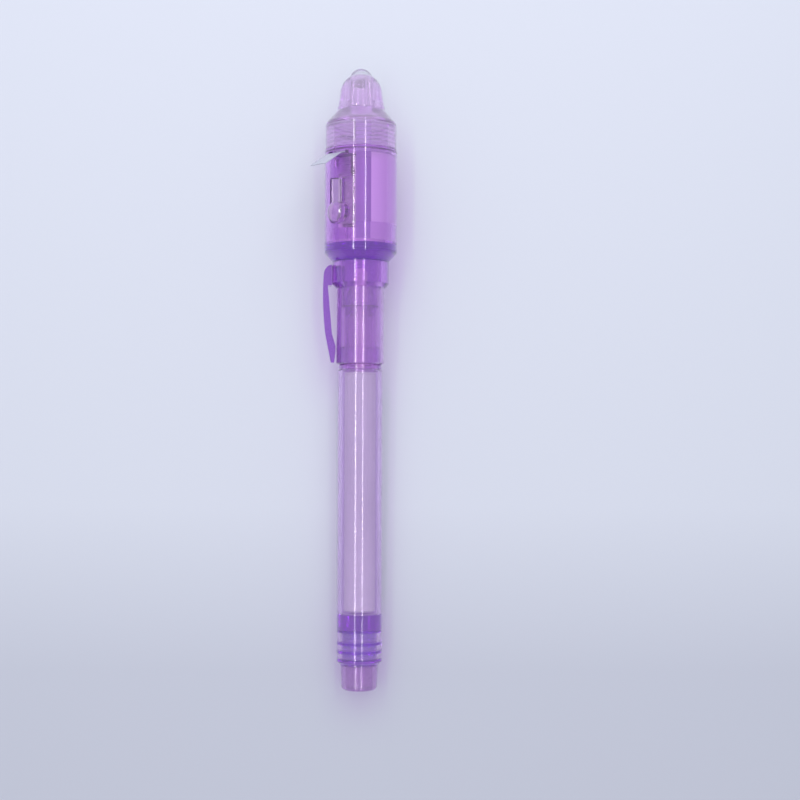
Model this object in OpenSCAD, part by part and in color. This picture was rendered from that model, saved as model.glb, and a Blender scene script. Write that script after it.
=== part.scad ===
// Counterfeit detector pen: an invisible-ink marker whose cap carries an ultraviolet lamp.
// Millimetres. The pen lies along Y with its lamp at the +Y end, and +Z is up.
// The origin is on the pen's axis, where the barrel's full diameter starts at its tail end.
// Sides of the pen are given as an angle that starts at -X and rises towards +Z.

/* [Marker] */
// Outer diameter of the barrel
barrel_d = 9.8; // [9.6:0.1:10]
// Length of the barrel
barrel_len = 63.3; // [50:0.1:80]
// Wall thickness of the barrel
barrel_wall = 1; // [0.9:0.05:1.1]
// Length of the tail boss behind the barrel
boss_len = 5.8; // [5:0.1:9]
// Diameter of the fibre that holds the ink
reservoir_d = 6.7; // [6:0.1:6.9]
// Diameter of the bullet nib
nib_d = 3; // [2.4:0.1:3]

/* [Cap] */
// Outer diameter of the sleeve that covers the nib
sleeve_d = 10.4; // [10.3:0.1:10.6]
// Length of the sleeve that shows below the collar
sleeve_len = 16.6; // [15.5:0.1:18]
// Outer diameter of the collar that carries the clip
collar_d = 12.4; // [12:0.1:13]
// Length of the collar
collar_len = 5.7; // [5.5:0.1:7]
// Side of the cap that the clip is on, in degrees
clip_side = 5; // [0:1:12]
// Width of the clip
clip_width = 4.2; // [3:0.1:5]

/* [Head] */
// Outer diameter of the head
head_d = 15.8; // [15.6:0.1:16.4]
// Length of the head from the neck to the lamp seam
head_len = 22.4; // [22.4:0.1:26]
// Wall thickness of the head
head_wall = 1.2; // [1:0.05:1.2]
// Side of the head that the button is on, in degrees
button_side = 48; // [46:1:50]
// Diameter of the button
button_d = 4.3; // [3.8:0.1:4.5]
// Width of the insulating film
film_width = 4.5; // [3.5:0.1:4.6]

/* [Lamp] */
// Diameter of the lamp lens
led_d = 5; // [4.8:0.1:5]
// Length of the lamp lens from its base to its tip
led_len = 8.7; // [8.5:0.1:8.8]

/* [Cells] */
// Diameter of one button cell
cell_d = 7.9; // [7.7:0.1:7.9]
// Thickness of one button cell
cell_h = 3.6; // [3.5:0.05:3.6]

/* [Hidden] */

$fn = 96;
eps = 0.01;

// Fits
slip = 0.05;                                 // radial gap of a sliding or push fit
fold_gap = 0.15;                             // gap at the root of a piece that flexes

// Radii of the marker
barrel_r = barrel_d / 2;
barrel_bore = barrel_r - barrel_wall;
plug_r = barrel_bore - slip;
plug_core = plug_r - 0.12;
reservoir_r = reservoir_d / 2;
film_skin = 0.12;
stem_r = 1;
nib_r = nib_d / 2;

// Radii of the cap
sleeve_r = sleeve_d / 2;
sleeve_wall = 0.7;
sleeve_bore = sleeve_r - sleeve_wall;
seat_r = sleeve_bore - 0.1;
section_r = 3.45;
collar_r = collar_d / 2;
seal_bore = section_r + 0.15;

// Radii of the head and lamp nose
head_r = head_d / 2;
head_bore = head_r - head_wall;
spigot_bore = head_bore - 0.8;
spigot_r = head_bore - 0.2;
ridge_h = 0.3;
nose_r = head_r - 0.15;
nose_bore = spigot_r + ridge_h + 0.3;
led_r = led_d / 2;
lens_flange_r = led_r + 0.4;
cell_r = cell_d / 2;
holder_bore = cell_r + 0.15;
holder_r = holder_bore + 0.8;

// Stations along the axis of the marker
edge = 0.35;                                 // chamfer at both ends of the barrel
barrel_back = -edge;
barrel_front = barrel_back + barrel_len;
plug_land_y = barrel_back + 6.6;
plug_top_y = barrel_back + 10.6;
reservoir_y = plug_top_y + 0.5;
insert_len = 0.7;
reservoir_end = barrel_front - insert_len - 0.1;
mouth_y = barrel_front + 1;
section_end = mouth_y + 17.3;
nib_tip_y = section_end + 3.6;

// Stations along the axis of the cap
collar_y = mouth_y + sleeve_len;
neck_y = collar_y + collar_len;
head_y = neck_y + 1.8;
flange_y = head_y + 2;                       // floor of the cup in the sleeve's top flange
flange_top = head_y + 2.4;
seam_y = head_y + head_len;
spigot_top = seam_y + 5.2;

// Stations of the cells, the switch and the film
stack_top = seam_y - 1.6;
film_y = stack_top + 0.15;
film_t = 0.15;
foot_y = stack_top + 0.3;                    // underside of the lamp's contact foot
stack_y = stack_top - 3 * cell_h;
shelf_y = stack_y - 5;
plate_y = shelf_y + 0.6;
plate_t = 0.25;
button_y = stack_y - 1.7;
tongue_root = button_y + 7.25;

// Stations of the lamp
skirt_top = seam_y + 5.2;
lens_base = seam_y + 9.3;
dome_y = lens_base + led_len - led_r;        // centre of the lens's round tip
nose_tip = dome_y + 0.75;
shoulder_top = lens_base - 0.6;
anvil_y = lens_base + 4.6;                   // middle of the block that holds the die

// Ribs of the battery holder
rib_left = -0.9;                             // where their left faces lie, across the pen
rib_width = 3;

// Screw thread between the head and the lamp nose, as rings
thread_pitch = 0.9;
thread_rings = 5;

// Leads of the lamp
lead_x = 1.27;                               // offset from the axis
lead_w = 0.45;
anvil_len = 1.2;
cup_depth = 0.35;                            // hollow in the anvil, in which the die sits

// Colours
clear_purple = [0.62, 0.45, 0.82, 0.75];
deep_purple = [0.45, 0.26, 0.72, 0.85];
pale_purple = [0.78, 0.7, 0.87, 0.6];
nickel = [0.76, 0.75, 0.72];

// Revolves an outline of [radius, station] points about the pen's axis.
module turned(outline) {
    rotate([-90, 0, 0]) mirror([0, 1, 0])
        rotate_extrude() polygon(outline);
}

// A plain round rod or tube between two stations.
module tube(outer, inner, from, to) {
    turned([[inner, from], [outer, from], [outer, to], [inner, to]]);
}

// Turns +X to the side of the pen at an angle above -X, and +Z along the tangent.
module at_side(angle) {
    rotate([0, 180 + angle, 0]) children();
}

// A box with a radial span, an axial span and a width across the tangent.
module side_box(radial, axial, width) {
    translate([radial[0], axial[0], -width / 2])
        cube([radial[1] - radial[0], axial[1] - axial[0], width]);
}

// Points on an arc of an outline: centre, radius, first and last angle, number of steps.
function arc(centre, radius, first, last, steps) = [
    for (i = [0 : steps])
        let (a = first + (last - first) * i / steps)
            centre + radius * [cos(a), sin(a)]
];

// Small round ridges, one for each station in a list, standing on a radius.
module ridges(radius, height, half_width, stations) {
    for (y = stations)
        turned([
            [radius - 0.1, y - half_width],
            [radius, y - half_width],
            [radius + height, y],
            [radius, y + half_width],
            [radius - 0.1, y + half_width]
        ]);
}

// ---------------------------------------------------------------- marker

module barrel() {
    color(pale_purple) turned([
        [barrel_bore, barrel_back],
        [barrel_r - edge, barrel_back],
        [barrel_r, 0],
        [barrel_r, barrel_front - edge],
        [barrel_r - edge, barrel_front],
        [barrel_bore, barrel_front]
    ]);
}

module tail_plug() {
    boss_r = barrel_bore + 0.2;
    end_r = boss_r - 0.2;
    round_r = 0.9;
    hollow_r = end_r - round_r - 0.1;
    hollow_end = barrel_back - 0.4;
    top_edge = 0.1;
    rib_h = plug_r - plug_core;
    rib_y = barrel_back + 0.35;
    rib_pitch = 1.8;
    rib_width = 0.7;
    end_y = barrel_back - boss_len;
    color(deep_purple) {
        turned(concat(
            [
                [0, hollow_end],
                [hollow_r - 0.2, hollow_end],
                [hollow_r, hollow_end - 0.2],
                [hollow_r, end_y],
                [end_r - round_r, end_y]
            ],
            arc([end_r - round_r, end_y + round_r], round_r, -60, 0, 5),
            [
                [boss_r, barrel_back - slip],
                [plug_core, barrel_back - slip],
                [plug_core, plug_land_y - rib_h],
                [plug_r, plug_land_y],
                [plug_r, plug_top_y - top_edge],
                [plug_r - top_edge, plug_top_y],
                [2.4, plug_top_y],
                [0, plug_top_y - 0.6]
            ]
        ));
        for (i = [0 : 2])
            let (y = rib_y + rib_pitch * i)
                tube(plug_r, plug_core - eps, y, y + rib_width);
    }
}

module ink_reservoir() {
    pocket_y = reservoir_end - 6;
    color("ghostwhite") turned([
        [0, reservoir_y],
        [reservoir_r - 0.3, reservoir_y],
        [reservoir_r, reservoir_y + 0.3],
        [reservoir_r, reservoir_end],
        [stem_r + slip, reservoir_end],
        [stem_r + slip, pocket_y],
        [0, pocket_y]
    ]);
}

module reservoir_film() {
    skin_r = reservoir_r + 0.02;
    color("white", 0.5)
        tube(skin_r + film_skin, skin_r, reservoir_y + 0.4, reservoir_end - 0.2);
}

module front_section() {
    seat_top = mouth_y + 3.8;
    shank_top = mouth_y + 13.8;
    bead_y = mouth_y + 2;
    inner_r = section_r - 0.8;
    color(deep_purple) {
        turned([
            [inner_r, barrel_front - insert_len],
            [plug_r, barrel_front - insert_len],
            [plug_r, barrel_front + slip],
            [seat_r + 0.2, barrel_front + slip],
            [seat_r + 0.2, mouth_y - 0.2],
            [seat_r, mouth_y],
            [seat_r, seat_top - 0.3],
            [seat_r - 0.3, seat_top],
            [section_r, seat_top],
            [section_r, shank_top],
            [nib_r + 0.6, section_end],
            [nib_r + slip, section_end],
            [nib_r + slip, section_end - 4],
            [inner_r, section_end - 7]
        ]);
        ridges(seat_r, slip, 0.35, [bead_y, bead_y - 0.7]);
    }
}

module nib() {
    shank = section_end - 4 + slip;
    color("white") turned(concat(
        [
            [0, reservoir_end - 5.8],
            [stem_r, reservoir_end - 5.8],
            [stem_r, shank],
            [nib_r, shank]
        ],
        arc([0, nib_tip_y - nib_r], nib_r, 0, 90, 8)
    ));
}

// ---------------------------------------------------------------- cap

module cap_sleeve() {
    post_width = 0.9;
    block_width = 4.2;
    block_top = flange_top + 2.5;
    seal_y = neck_y - 10;
    flange_r = head_bore - slip;
    cup_r = holder_r + 0.3;
    color(deep_purple) {
        turned([
            [sleeve_bore + 0.15, mouth_y],
            [sleeve_r - 0.25, mouth_y],
            [sleeve_r, mouth_y + 0.3],
            [sleeve_r, neck_y + slip],
            [flange_r, head_y + slip],
            [flange_r, flange_top],
            [cup_r, flange_top],
            [cup_r, flange_y],
            [0, flange_y],
            [0, neck_y],
            [seal_bore, neck_y],
            [seal_bore, seal_y + 0.3],
            [seal_bore + 0.2, seal_y],
            [seal_bore + 0.5, seal_y],
            [seal_bore + 0.5, neck_y],
            [sleeve_bore, neck_y],
            [sleeve_bore, mouth_y + 0.3]
        ]);
        intersection() {
            tube(flange_r, cup_r - 0.3, flange_y, block_top);
            at_side(button_side) difference() {
                side_box([cup_r - 1, flange_r], [flange_y, block_top], block_width);
                side_box(
                    [cup_r - 1, cup_r + 0.3],
                    [flange_top, block_top + eps],
                    block_width - 2 * post_width
                );
            }
        }
    }
}

module head_shell() {
    chamfer = 0.9;
    sleeve_fit = sleeve_r + slip;
    slit_width = film_width + 0.5;
    slit_h = 0.8;
    slot_width = 3.5;
    color(clear_purple) difference() {
        union() {
            turned([
                [sleeve_fit, collar_y],
                [collar_r - 0.7, collar_y],
                [collar_r, collar_y + chamfer],
                [collar_r, neck_y],
                [head_r - 0.1, head_y],
                [head_r, head_y + 0.4],
                [head_r, seam_y - 0.2],
                [head_r - 0.2, seam_y],
                [spigot_r, seam_y],
                [spigot_r, spigot_top - 0.3],
                [spigot_r - 0.3, spigot_top],
                [spigot_bore, spigot_top],
                [spigot_bore, seam_y - 0.2],
                [head_bore, seam_y - 0.7],
                [head_bore, head_y],
                [sleeve_fit, neck_y]
            ]);
            ridges(spigot_r, ridge_h, 0.28, [
                for (i = [0 : thread_rings - 1]) seam_y + 0.8 + thread_pitch * i
            ]);
        }
        at_side(button_side) {
            translate([head_bore - 1, button_y, 0]) rotate([0, 90, 0])
                cylinder(r = button_d / 2 + 0.4, h = head_wall + 2);
            side_box([head_bore - 1, head_r + 1], [button_y, tongue_root], slot_width);
            side_box(
                [head_bore - 1, head_r + 1],
                [film_y - slit_h / 2, film_y + slit_h / 2],
                slit_width
            );
        }
    }
}

// The clip's outer face bows out to its peak above the head's radius.
function clip_outer(y, peak_y) = head_r + 0.3 - pow(y - peak_y, 2) / 144;

module pocket_clip() {
    peak_y = neck_y - 7.25;
    knee_y = mouth_y + 6.5;
    bump_y = mouth_y + 3.3;                  // where the blade comes closest to the sleeve
    tip_y = mouth_y + 0.3;
    tip_r = head_r - 1.4;
    root_r = collar_r + 0.1;
    top_y = neck_y - 0.9;
    top_drop = 2.45;                         // height of the rounded top corner
    blade_end = collar_y + 0.4;
    blade_t = 1;
    steps = 8;
    bow_top = top_y - top_drop;
    bow = [
        for (i = [0 : steps])
            let (y = knee_y + (bow_top - knee_y) * i / steps)
                [clip_outer(y, peak_y), y]
    ];
    corner_w = clip_outer(bow_top, peak_y) - root_r;
    corner = [
        for (point = arc([0, 0], 1, 10, 90, 8))
            [root_r + corner_w * point.x, bow_top + top_drop * point.y]
    ];
    color(clear_purple) at_side(clip_side)
        translate([0, 0, -clip_width / 2])
            linear_extrude(clip_width) polygon(concat(
                [[tip_r - 0.75, tip_y], [tip_r - 0.1, tip_y], [tip_r, tip_y + 0.15]],
                bow,
                corner,
                [
                    [root_r, blade_end],
                    [clip_outer(blade_end, peak_y) - blade_t, blade_end],
                    [clip_outer(knee_y, peak_y) - 1.45, knee_y],
                    [sleeve_r + 0.25, bump_y + 0.5],
                    [sleeve_r + 0.25, bump_y - 0.5]
                ]
            ));
}

// ---------------------------------------------------------------- head

module push_button() {
    post_r = 5.15;
    cap_r = head_r + 0.25;
    crown = 0.8;
    tongue_width = 2.5;
    button_r = button_d / 2;
    sphere_r = (button_r * button_r + crown * crown) / (2 * crown);
    color(clear_purple) at_side(button_side) {
        translate([post_r, button_y, 0]) rotate([0, 90, 0]) rotate_extrude()
            polygon(concat(
                [[0, 0], [button_r - 0.2, 0], [button_r, 0.2]],
                arc(
                    [0, cap_r + crown - post_r - sphere_r],
                    sphere_r,
                    acos(button_r / sphere_r),
                    90,
                    8
                )
            ));
        intersection() {
            tube(head_r - 0.05, head_bore + 0.1, button_y, tongue_root - fold_gap);
            side_box([head_bore - 1, head_r + 1], [button_y, tongue_root], tongue_width);
        }
    }
}

module battery_holder() {
    base_y = flange_y + slip;
    wall_top = stack_top - 0.6;
    window_half_angle = 38;
    cheek_y = flange_top + slip;                // the cheek: a half shell against the head's bore
    cheek_top = seam_y - 1.3;
    cheek_t = 0.9;
    color(clear_purple) difference() {
        union() {
            tube(holder_r, holder_bore, base_y, wall_top);
            tube(holder_bore + eps, 0, shelf_y, plate_y);
            rib(head_bore - slip, cheek_y, cheek_top);
            rib(spigot_bore - slip, cheek_top - 0.1, spigot_top + 0.3);
            right_of_ribs() tube(head_bore - slip, head_bore - slip - cheek_t, cheek_y, cheek_top);
        }
        at_side(button_side)
            wedge(0.55 * holder_bore, window_half_angle, shelf_y, wall_top + 1);
    }
}

// A pair of ribs, above and below the holder, out to a radius between two stations.
module rib(outer_r, from, to) {
    intersection() {
        tube(outer_r, holder_r - 0.4, from, to);
        translate([rib_left, from, -outer_r])
            cube([rib_width, to - from, 2 * outer_r]);
    }
}

// Keeps what lies to the right of the ribs' left faces.
module right_of_ribs() {
    intersection() {
        children();
        translate([rib_left, 0, -head_r])
            cube([head_r - rib_left, nose_tip, head_d]);
    }
}

// A wedge that opens from its edge at a radius towards +X, between two stations.
module wedge(edge_r, half_angle, from, to) {
    reach = 8;
    translate([0, from, 0]) rotate([-90, 0, 0]) mirror([0, 1, 0])
        linear_extrude(to - from) polygon([
            [edge_r, 0],
            reach * [cos(half_angle), sin(half_angle)],
            reach * [cos(half_angle), -sin(half_angle)]
        ]);
}

// One cell: a can, a groove with its gasket, and the smaller cap underneath.
module cell(base_y) {
    cap_r = cell_r - 1;
    gap = 0.02;
    color(nickel) turned([
        [0, base_y + gap],
        [cap_r, base_y + gap],
        [cap_r, base_y + 0.4],
        [cap_r + 0.25, base_y + 0.4],
        [cap_r + 0.25, base_y + 0.3],
        [cell_r - 0.25, base_y + 0.3],
        [cell_r, base_y + 0.55],
        [cell_r, base_y + cell_h - 0.25],
        [cell_r - 0.2, base_y + cell_h - gap],
        [0, base_y + cell_h - gap]
    ]);
}

module cell_bottom() { cell(stack_y); }
module cell_middle() { cell(stack_y + cell_h); }
module cell_top() { cell(stack_y + 2 * cell_h); }

// Conical spring: a round wire swept up a spiral that narrows towards the cells.
module contact_spring() {
    wire_r = 0.2;
    turns = 4;
    sides = 8;
    steps = 16 * turns;
    low_y = plate_y + plate_t + wire_r + 0.02;
    high_y = stack_y - wire_r - 0.02;
    points = [
        for (i = [0 : steps])
            let (
                t = i / steps,
                a = 360 * turns * t,
                rise = smooth(t),
                r = 3.4 - 1.1 * t
            )
            for (j = [0 : sides - 1])
                let (b = 360 * j / sides, w = r + wire_r * cos(b))
                    [w * cos(a), low_y + (high_y - low_y) * rise + wire_r * sin(b), w * sin(a)]
    ];
    walls = [
        for (i = [0 : steps - 1], j = [0 : sides - 1])
            let (k = (j + 1) % sides)
                [i * sides + j, i * sides + k, (i + 1) * sides + k, (i + 1) * sides + j]
    ];
    first = [for (j = [sides - 1 : -1 : 0]) j];
    last = [for (j = [0 : sides - 1]) steps * sides + j];
    color(nickel) polyhedron(points, concat(walls, [first, last]), convexity = 6);
}

// Eases the spring's rise, so that its first and last turns lie nearly flat.
function smooth(t) = t < 0.2 ? t * 0.25 : t > 0.8 ? 1 - (1 - t) * 0.25 : 0.05 + (t - 0.2) * 1.5;

module negative_plate() {
    color(nickel) tube(cell_r - 0.2, 0, plate_y + eps, plate_y + plate_t);
}

// The switch's spring strip: a head that wraps the holder, a stem and an outward foot.
module switch_strip() {
    head_side = 38;
    head_half_angle = 30;
    stem_side = 55;
    strip_t = 0.2;
    head_inner = holder_r + 0.15;
    head_low = tongue_root + 1.25;
    head_high = stack_top - 0.5;
    elbow_low = head_low - 0.8;
    elbow_high = head_low - 0.6;
    stem_width = 2.6;
    stem_r = cell_r + 0.55;
    foot_r = holder_r + 0.8;
    foot_low = plate_y + 0.3;
    color([0.72, 0.62, 0.5]) {
        intersection() {
            tube(head_inner + strip_t, head_inner, head_low, head_high);
            at_side(head_side) wedge(0, head_half_angle, head_low, head_high);
        }
        at_side(stem_side) {
            side_box([stem_r, stem_r + strip_t], [foot_low, elbow_high], stem_width);
            side_box([stem_r, foot_r], [foot_low, foot_low + strip_t], stem_width);
            side_box([stem_r, head_inner + strip_t], [elbow_low, elbow_high], stem_width);
            side_box([head_inner, head_inner + strip_t], [elbow_low, head_low + eps], stem_width);
        }
    }
}

// The film that keeps the cells from the lamp until it is pulled out.
module pull_tab() {
    inner_r = -2.6;
    bend_r = head_r - 0.6;
    curl_r = 2.5;
    curl = 33;
    free_len = 5.3;
    steps = 5;
    middle = [bend_r, film_y - curl_r];
    free = free_len * [cos(curl), -sin(curl)];
    outer = arc(middle, curl_r + film_t / 2, 90, 90 - curl, steps);
    inner = arc(middle, curl_r - film_t / 2, 90 - curl, 90, steps);
    color("white", 0.7) at_side(button_side)
        translate([0, 0, -film_width / 2])
            linear_extrude(film_width) polygon(concat(
                [[inner_r, film_y - film_t / 2], [inner_r, film_y + film_t / 2]],
                outer,
                [outer[steps] + free, inner[0] + free],
                inner
            ));
}

// ---------------------------------------------------------------- lamp

module lamp_nose() {
    round_r = 4.35;
    round_y = nose_tip - 3.7;
    round_c = 0.2;
    seat_r = led_r + 0.05;
    opening = sqrt(pow(seat_r, 2) - pow(nose_tip - dome_y, 2));
    tip_angle = asin((nose_tip - round_y) / round_r);
    flange_bore = lens_flange_r + 0.1;
    bullet_r = 5.15;
    edge_r = 1.6;
    ring_h = 0.25;
    color(clear_purple) {
        turned(concat(
            [
                [nose_bore, seam_y + 0.05],
                [nose_r - 0.1, seam_y + 0.05],
                [nose_r, seam_y + 0.2],
                [nose_r, skirt_top]
            ],
            arc([nose_r - edge_r, skirt_top], edge_r, 10, 50, 5),
            [
                [bullet_r + 0.1, shoulder_top],
                [bullet_r, shoulder_top + 0.1],
                [bullet_r, lens_base + 0.05],
                [bullet_r - 0.1, lens_base + 0.1]
            ],
            arc([round_c, round_y], round_r, 0, tip_angle, 8),
            [[opening, nose_tip]],
            arc([0, dome_y], seat_r, asin((nose_tip - dome_y) / seat_r), 0, 4),
            [
                [seat_r, lens_base + 1.25],
                [flange_bore, lens_base + 1.25],
                [flange_bore, shoulder_top - 0.5],
                [nose_bore - 0.9, skirt_top + 0.4],
                [nose_bore - 0.2, skirt_top + 0.1],
                [nose_bore, skirt_top - 0.3]
            ]
        ));
        for (i = [0 : thread_rings - 1])
            let (y = seam_y + 0.8 + thread_pitch * (i + 0.5))
                turned([
                    [nose_bore + 0.1, y - ring_h],
                    [nose_bore, y - ring_h],
                    [nose_bore - ring_h, y],
                    [nose_bore, y + ring_h],
                    [nose_bore + 0.1, y + ring_h]
                ]);
    }
}

module led_lens() {
    cavity_gap = 0.01;
    color([0.93, 0.96, 1, 0.5]) difference() {
        turned(concat(
            [
                [0, lens_base],
                [lens_flange_r, lens_base],
                [lens_flange_r, lens_base + 1],
                [led_r, lens_base + 1]
            ],
            arc([0, dome_y], led_r, 0, 90, 12)
        ));
        for (side = [-1, 1])
            lead_bar(side, lens_base - 1, anvil_y + cavity_gap, lead_w + 2 * cavity_gap);
        anvil_block(cavity_gap);
        post_block(cavity_gap);
    }
}

// A straight square lead on one side of the axis.
module lead_bar(side, from, to, width) {
    translate([side * lead_x - width / 2, from, -width / 2])
        cube([width, to - from, width]);
}

// A block between two X values, of a length and width, with some room around it.
module lead_block(from_x, to_x, from_y, length, width, room) {
    translate([from_x - room, from_y - room, -width / 2 - room])
        cube([to_x - from_x + 2 * room, length + 2 * room, width + 2 * room]);
}

// The anvil: the block that carries the reflector cup.
module anvil_block(room) {
    lead_block(-lead_x - lead_w / 2, 0.55, anvil_y - anvil_len / 2, anvil_len, 1, room);
}

// The head of the post lead.
module post_block(room) {
    lead_block(lead_x - 0.45, lead_x + lead_w / 2, anvil_y - 0.3, 0.7, 0.6, room);
}

module led_cathode_lead() {
    leg_side = 14;
    leg_r = holder_r + 0.7;
    bend_y = spigot_top - 2.6;
    leg_end = tongue_root + 3.15;
    bend_span = norm([lead_x - leg_r * cos(leg_side), leg_r * sin(leg_side)]);
    bend_turn = atan2(leg_r * sin(leg_side), leg_r * cos(leg_side) - lead_x);
    color(nickel) {
        lead_bar(-1, bend_y, anvil_y, lead_w);
        difference() {
            anvil_block(0);
            translate([0, anvil_y + anvil_len / 2 - cup_depth, 0]) rotate([-90, 0, 0])
                cylinder(r1 = 0.25, r2 = 0.42, h = cup_depth + eps);
        }
        translate([-lead_x, bend_y, 0]) at_side(bend_turn)
            translate([-lead_w / 2, 0, -lead_w / 2])
                cube([bend_span + lead_w, lead_w, lead_w]);
        at_side(leg_side)
            side_box([leg_r - lead_w / 2, leg_r + lead_w / 2], [leg_end, bend_y + lead_w], lead_w);
    }
}

module led_anode_lead() {
    foot_t = 0.3;
    foot_len = 3.2;
    foot_width = 1.2;
    color(nickel) {
        lead_bar(1, foot_y, anvil_y, lead_w);
        post_block(0);
        translate([lead_x - lead_w / 2 - foot_len, foot_y, -foot_width / 2])
            cube([foot_len + lead_w, foot_t, foot_width]);
    }
}

module led_die() {
    die_w = 0.3;
    die_h = 0.12;
    color("goldenrod")
        translate([-die_w / 2, anvil_y + anvil_len / 2 - cup_depth + eps, -die_w / 2])
            cube([die_w, die_h, die_w]);
}

barrel();
tail_plug();
ink_reservoir();
reservoir_film();
front_section();
nib();
cap_sleeve();
head_shell();
pocket_clip();
push_button();
battery_holder();
cell_bottom();
cell_middle();
cell_top();
contact_spring();
negative_plate();
switch_strip();
pull_tab();
lamp_nose();
led_lens();
led_cathode_lead();
led_anode_lead();
led_die();
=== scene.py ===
"""Looks for the counterfeit detector pen: materials, fine detail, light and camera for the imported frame."""

import math

import bmesh
import bpy
from mathutils import Matrix, Vector


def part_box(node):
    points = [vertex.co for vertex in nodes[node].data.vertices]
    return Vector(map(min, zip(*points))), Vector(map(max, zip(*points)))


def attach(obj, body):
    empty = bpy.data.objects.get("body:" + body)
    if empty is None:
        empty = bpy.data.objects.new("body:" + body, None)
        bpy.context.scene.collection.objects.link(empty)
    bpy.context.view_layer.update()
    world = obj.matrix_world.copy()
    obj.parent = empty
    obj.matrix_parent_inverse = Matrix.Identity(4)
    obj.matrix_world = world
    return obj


MM = 0.001

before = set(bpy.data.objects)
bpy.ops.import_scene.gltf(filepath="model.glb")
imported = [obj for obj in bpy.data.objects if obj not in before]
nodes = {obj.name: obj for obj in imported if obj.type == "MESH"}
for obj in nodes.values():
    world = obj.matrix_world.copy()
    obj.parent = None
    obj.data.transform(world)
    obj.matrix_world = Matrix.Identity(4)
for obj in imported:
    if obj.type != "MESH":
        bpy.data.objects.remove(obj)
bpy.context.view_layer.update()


# ---------------------------------------------------------------- stations along the pen, in mm

SLEEVE_IN_HEAD = 4.9
TAPER_LENGTH = 1.8
FLANGE_LENGTH = 2.4
HEAD_ROUNDING = 0.25

plug_low, plug_high = (corner.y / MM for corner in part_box("tail_plug"))
barrel_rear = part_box("barrel")[0].y / MM
collar_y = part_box("head_shell")[0].y / MM
spigot_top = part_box("head_shell")[1].y / MM
seam_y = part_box("lamp_nose")[0].y / MM
shelf_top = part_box("negative_plate")[1].y / MM
tongue_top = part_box("push_button")[1].y / MM
head_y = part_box("cap_sleeve")[1].y / MM - SLEEVE_IN_HEAD
neck_y = head_y - TAPER_LENGTH


# ---------------------------------------------------------------- camera, floor and light

CAMERA_DISTANCE = 0.3175
CAMERA_TARGET = Vector((8.65 * MM, 56.3 * MM, 0))
FOCAL_PX = 1465
PICTURE_PX = 800
SENSOR_MM = 36
TILT = math.radians(1.5)
ROLL = math.radians(0.17)

FLOOR_HALF = 3
FLOOR_CLEARANCE = 0.05 * MM

PEN_MIDDLE = 0.056
STRIP_STATION = 0.06
STRIP_HEIGHT = 0.42
STRIP_LENGTH = 0.5
STRIP_WIDTH = 0.008
GLINT_WIDTH = 0.010


def add_camera():
    """Looks down on the pen from a little towards its tail, with the pen left of the middle."""
    backward = Vector((0, -math.sin(TILT), math.cos(TILT)))
    right = Vector((1, 0, 0))
    up = backward.cross(right)
    turned_right = right * math.cos(ROLL) + up * math.sin(ROLL)
    turned_up = up * math.cos(ROLL) - right * math.sin(ROLL)
    basis = Matrix((turned_right, turned_up, backward)).transposed().to_4x4()
    data = bpy.data.cameras.new("camera")
    data.sensor_width = SENSOR_MM
    data.lens = FOCAL_PX * SENSOR_MM / PICTURE_PX
    data.clip_start = 0.01
    camera = bpy.data.objects.new("camera", data)
    camera.matrix_world = Matrix.Translation(CAMERA_TARGET + backward * CAMERA_DISTANCE) @ basis
    bpy.context.scene.collection.objects.link(camera)
    bpy.context.scene.camera = camera


def add_floor():
    """A pale sheet that the barrel's tail end and the head's rear edge both rest on."""
    tail = Vector((0, 0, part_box("barrel")[0].z))
    head = Vector((0, (head_y + HEAD_ROUNDING) * MM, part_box("head_shell")[0].z))
    along = (head - tail).normalized()
    across = Vector((1, 0, 0))
    middle = tail - Vector((0, 0, FLOOR_CLEARANCE))
    corners = [
        middle + across * sx * FLOOR_HALF + along * sy * FLOOR_HALF
        for sx, sy in ((-1, -1), (1, -1), (1, 1), (-1, 1))
    ]
    mesh = bpy.data.meshes.new("floor")
    mesh.from_pydata([tuple(corner) for corner in corners], [], [(0, 1, 2, 3)])
    mesh.materials.append(floor_material())
    floor = bpy.data.objects.new("floor", mesh)
    bpy.context.scene.collection.objects.link(floor)


def area_light(name, place, size, power, colour=(1, 1, 1)):
    """A rectangular lamp at a place, turned to face the pen's middle, its long side along Y."""
    data = bpy.data.lights.new(name, "AREA")
    data.shape = "RECTANGLE"
    data.size, data.size_y = size
    data.energy = power
    data.color = colour
    backward = (Vector(place) - Vector((0, PEN_MIDDLE, 0))).normalized()
    right = Vector((0, 1, 0)).cross(backward).normalized()
    up = backward.cross(right)
    basis = Matrix((right, up, backward)).transposed().to_4x4()
    lamp = bpy.data.objects.new(name, data)
    lamp.matrix_world = Matrix.Translation(place) @ basis
    bpy.context.scene.collection.objects.link(lamp)
    return lamp


def add_strip(name, angle, power, sparkle):
    """A strip light at an angle from straight above, and a twin that only the plastics' gloss shows."""
    place = (STRIP_HEIGHT * math.tan(math.radians(angle)), STRIP_STATION, STRIP_HEIGHT)
    area_light(name, place, (STRIP_WIDTH, STRIP_LENGTH), power)
    glint = area_light(name + "_glint", place, (GLINT_WIDTH, STRIP_LENGTH), sparkle)
    glint.visible_diffuse = False
    glint.visible_transmission = False


def add_window():
    """A wide soft light beyond the lamp end, which lights the pen but isn't mirrored in it."""
    window = area_light(
        "window",
        place=(0, 0.42, 0.36),
        size=(0.6, 0.3),
        power=1.5,
        colour=(0.95, 0.97, 1),
    )
    window.visible_glossy = False
    window.visible_transmission = False


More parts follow.
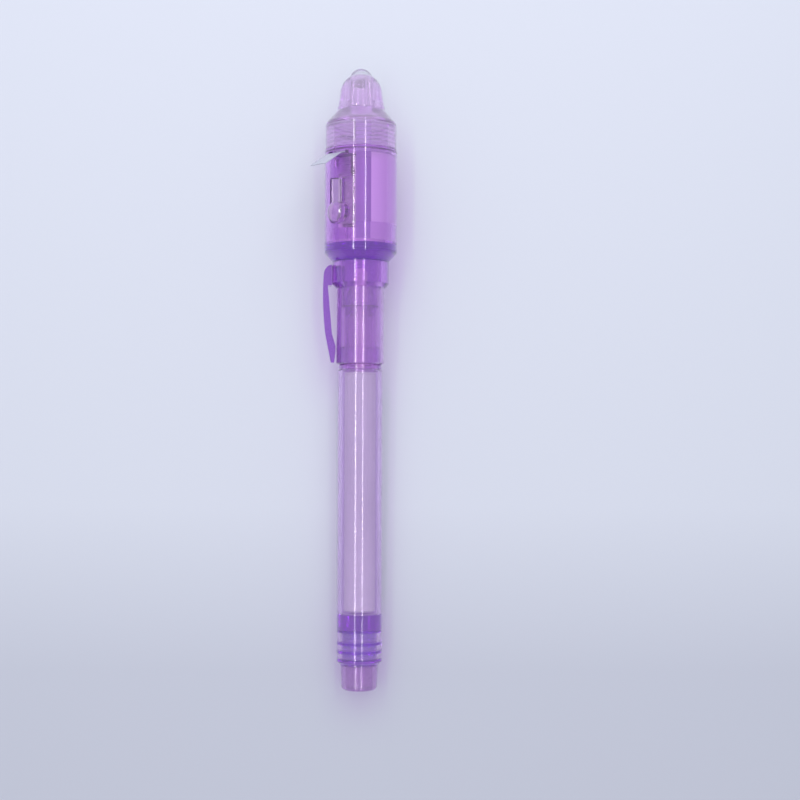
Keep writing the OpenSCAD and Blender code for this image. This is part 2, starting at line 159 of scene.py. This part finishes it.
def add_tent():
    """A pale tent all round, brighter where the pen shows it than where it only lights."""
    shown = 0.58
    lighting = 0.47
    world = bpy.data.worlds.new("tent")
    bpy.context.scene.world = world
    world.use_nodes = True
    tree = world.node_tree
    background = tree.nodes["Background"]
    background.inputs["Color"].default_value = (0.80, 0.84, 0.96, 1)
    path = tree.nodes.new("ShaderNodeLightPath")
    strength = between(tree, path.outputs["Is Diffuse Ray"], shown, lighting, 0, 1)
    tree.links.new(strength, background.inputs["Strength"])


# ---------------------------------------------------------------- node helpers


def blank(name):
    """A new node material and its node tree, with the output node kept."""
    material = bpy.data.materials.new(name)
    material.use_nodes = True
    tree = material.node_tree
    tree.nodes.clear()
    return material, tree, tree.nodes.new("ShaderNodeOutputMaterial")


def noise(tree, scale, stretch=(1, 1, 1), detail=3):
    """Noise in the object's own metres, stretched along its axes."""
    place = tree.nodes.new("ShaderNodeTexCoord")
    mapping = tree.nodes.new("ShaderNodeMapping")
    mapping.inputs["Scale"].default_value = stretch
    texture = tree.nodes.new("ShaderNodeTexNoise")
    texture.inputs["Scale"].default_value = scale
    texture.inputs["Detail"].default_value = detail
    tree.links.new(place.outputs["Object"], mapping.inputs["Vector"])
    tree.links.new(mapping.outputs["Vector"], texture.inputs["Vector"])
    return texture.outputs["Fac"]


def between(tree, value, low, high, from_low=0.3, from_high=0.7):
    """Maps a value to a range. Its own range is a noise's, unless it is given."""
    node = tree.nodes.new("ShaderNodeMapRange")
    node.inputs["From Min"].default_value = from_low
    node.inputs["From Max"].default_value = from_high
    node.inputs["To Min"].default_value = low
    node.inputs["To Max"].default_value = high
    tree.links.new(value, node.inputs["Value"])
    return node.outputs["Result"]


def bump(tree, height, strength, depth, under=None):
    """A bump of a depth in metres, on top of another bump."""
    node = tree.nodes.new("ShaderNodeBump")
    node.inputs["Strength"].default_value = strength
    node.inputs["Distance"].default_value = depth
    tree.links.new(height, node.inputs["Height"])
    if under is not None:
        tree.links.new(under, node.inputs["Normal"])
    return node.outputs["Normal"]


def blend_colours(tree, value, first, second):
    """A colour ramp between two colours."""
    ramp = tree.nodes.new("ShaderNodeValToRGB")
    ramp.color_ramp.elements[0].position = 0.3
    ramp.color_ramp.elements[1].position = 0.7
    ramp.color_ramp.elements[0].color = (*first, 1)
    ramp.color_ramp.elements[1].color = (*second, 1)
    tree.links.new(value, ramp.inputs["Fac"])
    return ramp.outputs["Color"]


def combine(tree, operation, first, second):
    """One value from two, by a math node."""
    node = tree.nodes.new("ShaderNodeMath")
    node.operation = operation
    tree.links.new(first, node.inputs[0])
    tree.links.new(second, node.inputs[1])
    return node.outputs[0]


def coordinate(tree, axis):
    """One of a surface point's coordinates in its object, in metres."""
    place = tree.nodes.new("ShaderNodeTexCoord")
    parts = tree.nodes.new("ShaderNodeSeparateXYZ")
    tree.links.new(place.outputs["Object"], parts.inputs["Vector"])
    return parts.outputs[axis]


def axis_distance(tree):
    """A surface point's distance from the pen's axis, in metres."""
    place = tree.nodes.new("ShaderNodeTexCoord")
    across = tree.nodes.new("ShaderNodeVectorMath")
    across.operation = "MULTIPLY"
    across.inputs[1].default_value = (1, 0, 1)
    tree.links.new(place.outputs["Object"], across.inputs[0])
    length = tree.nodes.new("ShaderNodeVectorMath")
    length.operation = "LENGTH"
    tree.links.new(across.outputs["Vector"], length.inputs[0])
    return length.outputs["Value"]


def within(tree, value, span):
    """1 where a value in metres lies in a span given in mm."""
    start, end = span
    node = tree.nodes.new("ShaderNodeMath")
    node.operation = "COMPARE"
    node.inputs[1].default_value = (start + end) / 2 * MM
    node.inputs[2].default_value = (end - start) / 2 * MM
    tree.links.new(value, node.inputs[0])
    return node.outputs[0]


def inside_bands(tree, bands):
    """1 where a surface point lies in a band: a span of stations, one of radii and perhaps one of X."""
    values = (coordinate(tree, "Y"), axis_distance(tree), coordinate(tree, "X"))
    total = None
    for band in bands:
        inside = within(tree, values[0], band[0])
        for value, span in zip(values[1:], band[1:]):
            inside = combine(tree, "MULTIPLY", inside, within(tree, value, span))
        total = inside if total is None else combine(tree, "MAXIMUM", total, inside)
    return total


def see_through(tree, surface, factor, colour=(1, 1, 1)):
    """The surface, with a plain see-through shader of a colour where the factor is 1."""
    passing = tree.nodes.new("ShaderNodeBsdfTransparent")
    passing.inputs["Color"].default_value = (*colour, 1)
    mix = tree.nodes.new("ShaderNodeMixShader")
    tree.links.new(factor, mix.inputs["Fac"])
    tree.links.new(surface, mix.inputs[1])
    tree.links.new(passing.outputs["BSDF"], mix.inputs[2])
    return mix.outputs["Shader"]


# ---------------------------------------------------------------- kinds of material

# The colour that depth turns white light to, the share of light that a face lets on to what lies under
# the pen, and how much of a surface fades where only a hair of air lies on it
PURPLE = (0.85, 0.36, 0.985)
SHADE = (0.915, 0.93, 0.905)
FAINTNESS = 0.7


def tint_bands(tree, shader, tint, tints):
    """Gives the shader's colour another tint in each band."""
    last = None
    for band, other_tint in tints:
        choice = tree.nodes.new("ShaderNodeMix")
        choice.data_type = "RGBA"
        tree.links.new(inside_bands(tree, [band]), choice.inputs["Factor"])
        choice.inputs["A"].default_value = (*tint, 1)
        if last is not None:
            tree.links.new(last, choice.inputs["A"])
        choice.inputs["B"].default_value = (*other_tint, 1)
        last = choice.outputs["Result"]
    if last is not None:
        tree.links.new(last, shader.inputs["Base Color"])


def add_relief(tree, shader, roughness, wave, along):
    """Rubbed patches, flow lines and a fine grain in the plastic, and a nearly smooth skin of gloss."""
    rubbed = noise(tree, 900, (1, 0.25, 1), 4)
    tree.links.new(between(tree, rubbed, *roughness), shader.inputs["Roughness"])
    flow = bump(tree, noise(tree, 1100, (1, along, 1)), wave, 0.03 * MM)
    grain = bump(tree, noise(tree, 2600, (1, along, 1), 4), 0.1, 0.005 * MM, flow)
    skin = bump(tree, noise(tree, 400, (1, 0.01, 1), 2), 0.02, 0.02 * MM)
    tree.links.new(grain, shader.inputs["Normal"])
    tree.links.new(skin, shader.inputs["Coat Normal"])


def open_surface(tree, surface, contacts, near):
    """Lets light's own rays straight through, and shows no surface where no air lies on it."""
    path = tree.nodes.new("ShaderNodeLightPath")
    lighting = combine(tree, "MAXIMUM", path.outputs["Is Shadow Ray"], path.outputs["Is Diffuse Ray"])
    surface = see_through(tree, surface, lighting, SHADE)
    if near:
        faint = between(tree, inside_bands(tree, near), 0, FAINTNESS, 0, 1)
        surface = see_through(tree, surface, faint)
    if contacts:
        surface = see_through(tree, surface, inside_bands(tree, contacts))
    return surface


def clear_plastic(
    name,
    tint,
    density,
    absorbs=PURPLE,
    clearness=0.85,
    roughness=(0.1, 0.2),
    gloss=0.03,
    inner_gloss=0.25,
    wave=0.05,
    along=0.04,
    ior=1.57,
    contacts=(),
    near=(),
    tints=(),
):
    """Moulded see-through plastic: tinted by its depth, a little hazy, glossy outside, faintly wavy.

    density and absorbs are how strongly, and to what colour, its depth tints.
    inner_gloss is the strength of the body's own reflections, under the clear outer gloss.
    along is how far the waves are drawn out: less is longer along the pen.
    contacts are the bands where it is pressed against another piece so tightly that no air gap shows.
    near are the bands where only a hair of air is left, so that its surface shows faintly.
    tints are pairs of a band and the tint that the plastic has in it.
    """
    material, tree, output = blank(name)
    shader = tree.nodes.new("ShaderNodeBsdfPrincipled")
    shader.inputs["Base Color"].default_value = (*tint, 1)
    shader.inputs["Transmission Weight"].default_value = clearness
    shader.inputs["IOR"].default_value = ior
    shader.inputs["Specular IOR Level"].default_value = inner_gloss
    shader.inputs["Coat Weight"].default_value = 1.0
    shader.inputs["Coat IOR"].default_value = 1.4
    shader.inputs["Coat Roughness"].default_value = gloss
    tint_bands(tree, shader, tint, tints)
    add_relief(tree, shader, roughness, wave, along)
    surface = open_surface(tree, shader.outputs["BSDF"], contacts, near)
    tree.links.new(surface, output.inputs["Surface"])
    depth = tree.nodes.new("ShaderNodeVolumeAbsorption")
    depth.inputs["Color"].default_value = (*absorbs, 1)
    depth.inputs["Density"].default_value = density
    tree.links.new(depth.outputs["Volume"], output.inputs["Volume"])
    return material


def fibre(name, pale, dark):
    """Bonded fibre: fine threads along the pen, soft and pale."""
    material, tree, output = blank(name)
    shader = tree.nodes.new("ShaderNodeBsdfPrincipled")
    threads = noise(tree, 2200, (1, 0.03, 1), 5)
    clumps = noise(tree, 160, (1, 0.4, 1))
    mixed = tree.nodes.new("ShaderNodeMath")
    mixed.operation = "MULTIPLY_ADD"
    mixed.inputs[1].default_value = 0.5
    tree.links.new(threads, mixed.inputs[0])
    tree.links.new(between(tree, clumps, 0.0, 0.5), mixed.inputs[2])
    tree.links.new(blend_colours(tree, mixed.outputs[0], dark, pale), shader.inputs["Base Color"])
    shader.inputs["Roughness"].default_value = 0.85
    shader.inputs["Sheen Weight"].default_value = 0.3
    shader.inputs["Subsurface Weight"].default_value = 0.3
    shader.inputs["Subsurface Radius"].default_value = (0.002, 0.0018, 0.0022)
    shader.inputs["Subsurface Scale"].default_value = 1.0
    tree.links.new(bump(tree, threads, 0.5, 0.03 * MM), shader.inputs["Normal"])
    tree.links.new(shader.outputs["BSDF"], output.inputs["Surface"])
    return material


def metal(name, bright, dull, roughness=(0.22, 0.42)):
    """Plated metal: brushed round its axis, with dull patches."""
    material, tree, output = blank(name)
    shader = tree.nodes.new("ShaderNodeBsdfPrincipled")
    shader.inputs["Metallic"].default_value = 1.0
    patches = noise(tree, 500, (1, 1, 1), 4)
    brushed = noise(tree, 1500, (0.1, 6, 0.1))
    tree.links.new(blend_colours(tree, patches, dull, bright), shader.inputs["Base Color"])
    tree.links.new(between(tree, brushed, *roughness), shader.inputs["Roughness"])
    tree.links.new(bump(tree, brushed, 0.25, 0.01 * MM), shader.inputs["Normal"])
    tree.links.new(shader.outputs["BSDF"], output.inputs["Surface"])
    return material


def thin_film(name, tint, alpha, roughness=(0.08, 0.2)):
    """Thin film: partly see-through, glossy, faintly scuffed."""
    material, tree, output = blank(name)
    shader = tree.nodes.new("ShaderNodeBsdfPrincipled")
    shader.inputs["Base Color"].default_value = (*tint, 1)
    shader.inputs["Alpha"].default_value = alpha
    shader.inputs["IOR"].default_value = 1.6
    scuffs = noise(tree, 1200, (1, 1, 1), 5)
    tree.links.new(between(tree, scuffs, *roughness), shader.inputs["Roughness"])
    tree.links.new(bump(tree, noise(tree, 300, (1, 1, 1), 2), 0.2, 0.03 * MM), shader.inputs["Normal"])
    tree.links.new(shader.outputs["BSDF"], output.inputs["Surface"])
    return material


def gasket_plastic():
    """Nylon seal of a button cell: milky, matt, faintly mottled."""
    material, tree, output = blank("cell_gasket")
    shader = tree.nodes.new("ShaderNodeBsdfPrincipled")
    mottle = noise(tree, 1400)
    milky = blend_colours(tree, mottle, (0.72, 0.71, 0.68), (0.82, 0.81, 0.79))
    tree.links.new(milky, shader.inputs["Base Color"])
    tree.links.new(between(tree, mottle, 0.4, 0.55), shader.inputs["Roughness"])
    tree.links.new(bump(tree, mottle, 0.3, 0.01 * MM), shader.inputs["Normal"])
    tree.links.new(shader.outputs["BSDF"], output.inputs["Surface"])
    return material


def floor_material():
    """A pale matt sheet with painted shade: darker towards the near edge, where less light falls on it."""
    painted_shade_at = -0.03
    unshaded_at = 0.06
    material, tree, output = blank("floor_sheet")
    shader = tree.nodes.new("ShaderNodeBsdfPrincipled")
    # Painted shade: the sheet's colour darkens towards the near edge, standing in for the light's falloff
    # there
    painted_falloff = between(tree, coordinate(tree, "Y"), 0, 1, painted_shade_at, unshaded_at)
    sheet = blend_colours(tree, painted_falloff, (0.67, 0.685, 0.77), (0.80, 0.82, 0.90))
    tree.links.new(sheet, shader.inputs["Base Color"])
    shader.inputs["Roughness"].default_value = 0.6
    tree.links.new(bump(tree, noise(tree, 1500, (1, 1, 1), 4), 0.1, 0.02 * MM), shader.inputs["Normal"])
    tree.links.new(shader.outputs["BSDF"], output.inputs["Surface"])
    return material


# ---------------------------------------------------------------- where the plastics touch or look deeper

# A band is a span of stations, a span of radii and perhaps a span of X, all in mm. Its ends stop short
# of a piece's ends, or reach past them, by a hair or by an edge or two.
HAIR = 0.05
EDGE = 0.1
OUTSIDE = 8

# The tail plug in the barrel
PLUG_BORE = (3.8, 3.95)
PLUG_WALL = (3, 4.5)
PLUG_LAND = 4
PLUG_RIBS = 3
PLUG_RIB_PITCH = 1.8
PLUG_RIB_WIDTH = 0.7
PLUG_RIB_START = 0.35
land_start = plug_high - PLUG_LAND
boss_band = ((plug_low - EDGE, barrel_rear), (0, OUTSIDE))
ribbed_band = ((barrel_rear, land_start), PLUG_WALL)

# The sleeve's neck, taper and flange in the head
NECK_BORE = (5.15, 5.3)
TAPER_RISE = 1.5
TAPER_STEPS = 5
TAPER_WALL = (6.7, 8.1)
HEAD_BORE = (6.6, 6.75)
flange_top = head_y + FLANGE_LENGTH
collar_band = ((collar_y - EDGE, head_y), (0, OUTSIDE))
taper_band = ((neck_y + HAIR, head_y - HAIR), TAPER_WALL)

# The holder's cheek on the head's bore, its rib, and the head's panels before and beside them
CHEEK_LEFT = -0.85
CHEEK_TO_SEAM = 1.3
HEAD_WALL = (6.6, 8.1)
LEFT_PANEL_EDGE = -1.2
LEFT_PANEL_TO_SEAM = 0.3
RIB_RADII = (3, 6.7)
RIB_SIDES = (-0.91, 2.11)
RIB_OVERRUN = 1
cheek_band = ((shelf_top + 2 * EDGE, seam_y - CHEEK_TO_SEAM), HEAD_BORE, (CHEEK_LEFT, OUTSIDE))
foot_band = ((flange_top, shelf_top + 2 * EDGE), HEAD_WALL, (CHEEK_LEFT, OUTSIDE))
left_band = ((flange_top, seam_y - LEFT_PANEL_TO_SEAM), HEAD_WALL, (-OUTSIDE, LEFT_PANEL_EDGE))
rib_band = ((flange_top + EDGE, spigot_top + RIB_OVERRUN), RIB_RADII, RIB_SIDES)

# The root of the button's tongue in its window
TONGUE_WALL = (6.78, 7.83)
TONGUE_RIGHT = -3
tongue_band = ((tongue_top - HAIR, tongue_top + 2 * EDGE), TONGUE_WALL, (-OUTSIDE, TONGUE_RIGHT))

# The nose screwed on to the head's spigot
SPIGOT_FACE = (6.45, 6.55)
NOSE_BORE = (7.05, 7.15)
THREAD_RADII = (6.3, 7.3)
THREAD_LEAD = 0.3
thread_bands = [
    ((seam_y, spigot_top - THREAD_LEAD), SPIGOT_FACE),
    ((seam_y + HAIR, spigot_top - THREAD_LEAD), NOSE_BORE),
]
thread_zone = ((seam_y + HAIR, spigot_top + 2 * EDGE), THREAD_RADII)


def plug_contacts():
    """The plug's ribs and its long land, pressed into the barrel's bore."""
    bands = []
    for i in range(PLUG_RIBS):
        start = barrel_rear + PLUG_RIB_START + PLUG_RIB_PITCH * i
        bands.append(((start, start + PLUG_RIB_WIDTH), PLUG_BORE))
    bands.append(((land_start, plug_high - EDGE), PLUG_BORE))
    return bands


def neck_contacts():
    """The sleeve's neck, flange and taper, pressed into the head."""
    bands = [
        ((collar_y + EDGE, neck_y + HAIR), NECK_BORE),
        ((head_y + EDGE, flange_top - HAIR), HEAD_BORE),
    ]
    for i in range(TAPER_STEPS):
        low = i / TAPER_STEPS
        high = (i + 1) / TAPER_STEPS
        bands.append((
            (neck_y + TAPER_LENGTH * low, neck_y + TAPER_LENGTH * high + EDGE),
            (NECK_BORE[0] + TAPER_RISE * low, NECK_BORE[1] + TAPER_RISE * high),
        ))
    return bands


# ---------------------------------------------------------------- the pen's materials


def plug_plastic():
    """The tail plug and the front section: deep purple, deepest in its ribs."""
    return clear_plastic(
        "plug_plastic",
        tint=(0.82, 0.60, 0.90),
        density=360,
        wave=0.02,
        contacts=plug_contacts(),
        tints=[(ribbed_band, (0.50, 0.20, 0.78)), (boss_band, (0.77, 0.64, 0.83))],
    )


def barrel_plastic():
    """The barrel: pale purple and clear."""
    return clear_plastic(
        "barrel_plastic",
        tint=(0.86, 0.75, 0.95),
        density=190,
        clearness=0.9,
        roughness=(0.08, 0.14),
        wave=0.06,
        along=0.01,
        contacts=plug_contacts(),
    )


def sleeve_plastic():
    """The cap's sleeve: purple, with flow lines along it."""
    return clear_plastic(
        "sleeve_plastic",
        tint=(0.90, 0.72, 0.99),
        density=290,
        clearness=0.94,
        wave=0.2,
        along=0.015,
        contacts=neck_contacts(),
    )


def head_plastic():
    """The head: polished and clear, with flow lines along it."""
    return clear_plastic(
        "head_plastic",
        tint=(0.92, 0.77, 0.99),
        density=300,
        clearness=0.94,
        roughness=(0.06, 0.12),
        wave=0.12,
        along=0.015,
        contacts=neck_contacts() + [cheek_band, tongue_band] + thread_bands,
        near=[thread_zone],
        tints=[
            (collar_band, (0.80, 0.60, 0.94)),
            (taper_band, (0.98, 0.88, 1.0)),
            (foot_band, (0.80, 0.58, 0.92)),
            (left_band, (0.86, 0.60, 0.98)),
        ],
    )


def clip_plastic():
    """The clip: the deepest purple."""
    return clear_plastic("clip_plastic", tint=(0.54, 0.34, 0.73), density=450, clearness=0.8)


def button_plastic():
    """The button and its tongue: pale, thin and polished."""
    return clear_plastic(
        "button_plastic",
        tint=(0.97, 0.90, 1.0),
        density=140,
        clearness=0.9,
        roughness=(0.06, 0.12),
        contacts=[tongue_band],
    )


def nose_plastic():
    """The lamp's nose: pale and clear."""
    return clear_plastic(
        "nose_plastic",
        tint=(0.97, 0.89, 1.0),
        density=120,
        clearness=0.88,
        roughness=(0.05, 0.1),
        wave=0.02,
        along=0.02,
        contacts=thread_bands,
        near=[thread_zone],
    )


def holder_plastic():
    """The battery holder: cloudy, with a deeper rib."""
    return clear_plastic(
        "holder_plastic",
        tint=(0.88, 0.73, 0.97),
        density=130,
        clearness=0.15,
        roughness=(0.3, 0.4),
        gloss=0.3,
        inner_gloss=0.1,
        contacts=[cheek_band],
        tints=[(rib_band, (0.51, 0.35, 0.71))],
    )


def lamp_epoxy():
    """The lamp's body: water-clear epoxy."""
    return clear_plastic(
        "lamp_epoxy",
        tint=(0.97, 0.98, 1),
        density=20,
        absorbs=(0.95, 0.97, 1.0),
        clearness=0.96,
        roughness=(0.03, 0.08),
        gloss=0.02,
        wave=0.3,
        along=0.03,
        ior=1.54,
    )


def dress(material, *names):
    """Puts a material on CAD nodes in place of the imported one."""
    for name in names:
        node = nodes[name]
        node.data.materials.clear()
        node.data.materials.append(material)


def dress_plastics():
    """Dresses the purple pieces and the lamp's body."""
    dress(plug_plastic(), "tail_plug", "front_section")
    dress(barrel_plastic(), "barrel")
    dress(sleeve_plastic(), "cap_sleeve")
    dress(head_plastic(), "head_shell")
    dress(clip_plastic(), "pocket_clip")
    dress(button_plastic(), "push_button")
    dress(nose_plastic(), "lamp_nose")
    dress(holder_plastic(), "battery_holder")
    dress(lamp_epoxy(), "led_lens")


def dress_fibres_and_films():
    """Dresses the ink reservoir, the nib and the thin films."""
    dress(fibre("polyester_fibre", (0.88, 0.86, 0.92), (0.75, 0.72, 0.80)), "ink_reservoir")
    dress(fibre("nib_fibre", (0.93, 0.92, 0.9), (0.8, 0.79, 0.78)), "nib")
    dress(thin_film("reservoir_wrap", (0.95, 0.95, 0.98), 0.15, (0.25, 0.4)), "reservoir_film")
    dress(thin_film("insulating_film", (0.66, 0.67, 0.78), 0.8), "pull_tab")


def dress_metals():
    """Dresses the cells, contacts and leads, and the lamp's chip."""
    cell_nickel = metal("cell_nickel", (0.8, 0.79, 0.78), (0.62, 0.61, 0.6))
    spring_nickel = metal("spring_nickel", (0.75, 0.74, 0.73), (0.55, 0.54, 0.53))
    switch_nickel = metal("switch_nickel", (0.84, 0.82, 0.84), (0.7, 0.68, 0.7))
    tinned_lead = metal("tinned_lead", (0.62, 0.62, 0.66), (0.36, 0.36, 0.4), (0.12, 0.28))
    dress(cell_nickel, "cell_bottom", "cell_middle", "cell_top")
    dress(spring_nickel, "contact_spring", "negative_plate")
    dress(switch_nickel, "switch_strip")
    dress(tinned_lead, "led_cathode_lead", "led_anode_lead")
    dress(metal("lamp_chip", (0.8, 0.7, 0.4), (0.55, 0.5, 0.3)), "led_die")


# ---------------------------------------------------------------- fine detail


def add_ring(name, outline, station, body, material, steps=64):
    """Adds a ring that rides on a body: an outline of [radius, height] points in mm, turned round the
    pen's axis at a station in metres."""
    grid = bmesh.new()
    rings = []
    for i in range(steps):
        turn = 2 * math.pi * i / steps
        rings.append([
            grid.verts.new((r * math.cos(turn) * MM, station + y * MM, r * math.sin(turn) * MM))
            for r, y in outline
        ])
    count = len(outline)
    for i, ring in enumerate(rings):
        after = rings[(i + 1) % steps]
        for j in range(count):
            k = (j + 1) % count
            face = grid.faces.new((ring[j], ring[k], after[k], after[j]))
            face.smooth = True
    mesh = bpy.data.meshes.new(name)
    grid.to_mesh(mesh)
    grid.free()
    mesh.materials.append(material)
    piece = bpy.data.objects.new(name, mesh)
    bpy.context.scene.collection.objects.link(piece)
    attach(piece, body)


def add_gaskets():
    """The nylon seal ring that shows in the groove at the foot of each cell."""
    material = gasket_plastic()
    middle = 3.08
    half_width = 0.09
    low = 0.1
    high = 0.37
    lip = 0.06
    outline = [
        (middle - half_width, low),
        (middle, low - lip),
        (middle + half_width, low),
        (middle + half_width, high),
        (middle - half_width, high),
    ]
    for name in ("cell_bottom", "cell_middle", "cell_top"):
        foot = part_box(name)[0].y
        add_ring(name + "_gasket", outline, foot, "cap", material)


def add_bond_wire():
    """The hair-thin gold wire that arches from the lamp's chip to its post."""
    wire_r = 0.015 * MM
    arch = 0.45 * MM
    landing = 0.45 * MM
    steps = 16
    die_low, die_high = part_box("led_die")
    post_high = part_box("led_anode_lead")[1]
    start = Vector(((die_low.x + die_high.x) / 2, die_high.y, 0))
    end = Vector((post_high.x - landing, post_high.y, 0))
    curve = bpy.data.curves.new("bond_wire", "CURVE")
    curve.dimensions = "3D"
    curve.bevel_depth = wire_r
    curve.bevel_resolution = 2
    spline = curve.splines.new("POLY")
    spline.points.add(steps)
    for i, point in enumerate(spline.points):
        t = i / steps
        place = start.lerp(end, t) + Vector((0, arch * math.sin(math.pi * t), 0))
        point.co = (*place, 1)
    curve.materials.append(metal("gold_wire", (0.95, 0.78, 0.38), (0.8, 0.62, 0.28), (0.15, 0.3)))
    wire = bpy.data.objects.new("bond_wire", curve)
    bpy.context.scene.collection.objects.link(wire)
    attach(wire, "lamp")


def smooth_nodes():
    """Shades every CAD node smoothly."""
    for node in nodes.values():
        node.data.polygons.foreach_set("use_smooth", [True] * len(node.data.polygons))


# ---------------------------------------------------------------- the scene


def set_up_view():
    """Plain colours, and bounces enough for light to cross all the layers of plastic."""
    scene = bpy.context.scene
    scene.view_settings.view_transform = "Standard"
    scene.cycles.max_bounces = 32
    scene.cycles.transmission_bounces = 32
    scene.cycles.transparent_max_bounces = 48


dress_plastics()
dress_fibres_and_films()
dress_metals()
add_gaskets()
add_bond_wire()
smooth_nodes()

add_camera()
add_floor()
add_strip("left_strip", angle=-21, power=0.24, sparkle=0.22)
add_strip("right_strip", angle=16, power=0.2, sparkle=0.14)
add_window()
add_tent()
set_up_view()
